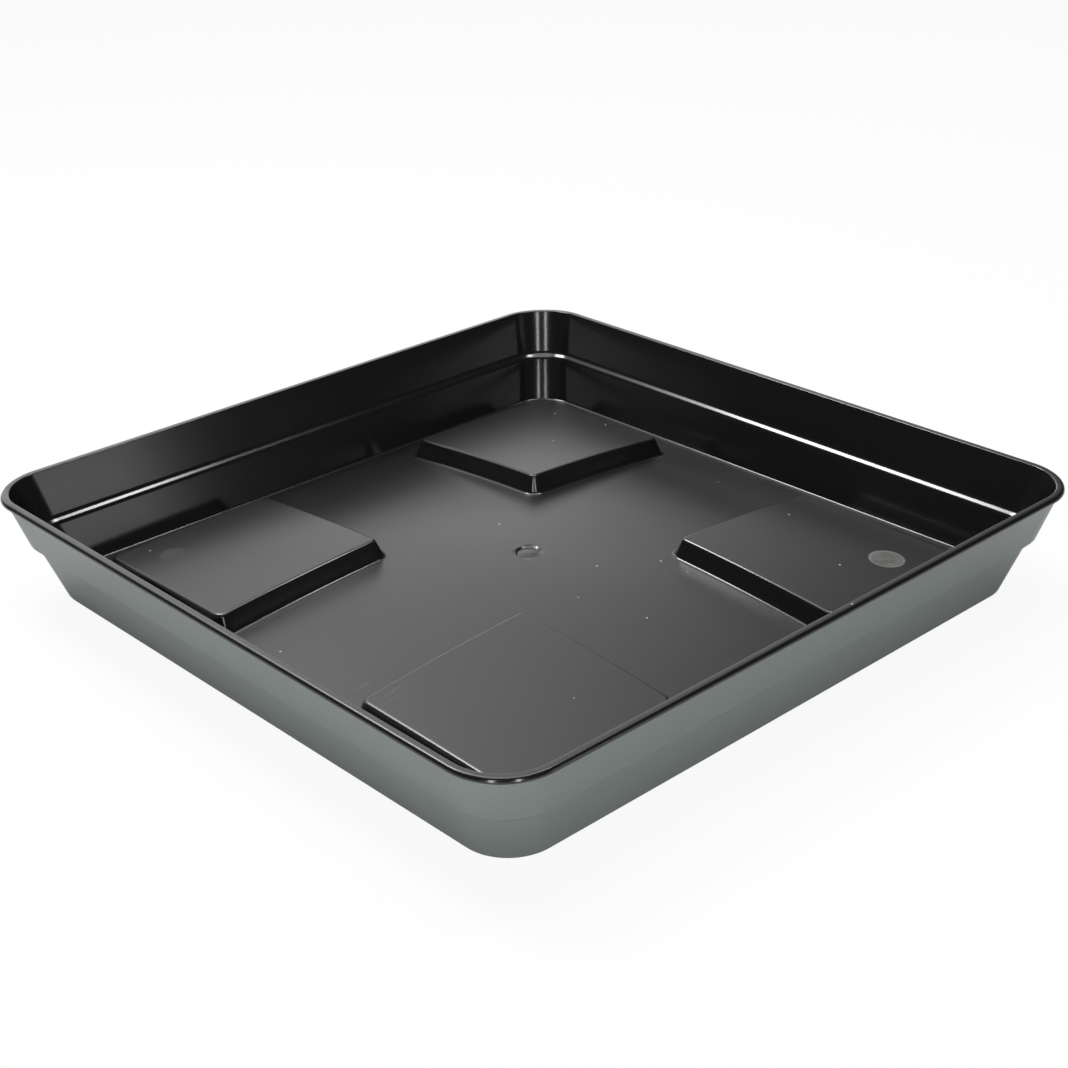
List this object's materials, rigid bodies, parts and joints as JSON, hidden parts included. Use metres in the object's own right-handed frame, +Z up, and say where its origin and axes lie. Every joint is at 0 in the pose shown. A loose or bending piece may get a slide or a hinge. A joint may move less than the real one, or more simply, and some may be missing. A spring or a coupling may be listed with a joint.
{
  "type": "plant saucer",
  "caption": "Square black plastic plant saucer with a narrow lip, a stepped tapered wall and a crowned floor whose raised pads keep the pot out of drained water.",
  "frame": {"origin": "middle of the footprint, on the ground under the foot", "axes": "+Z up out of the tray, +X and +Y square to its sides"},
  "size_m": [0.4, 0.4, 0.058],
  "materials": {
    "black_plastic": "satin, as moulded"
  },
  "bodies": {
    "root": {"saucer": "black_plastic"}
  },
  "joints": []
}
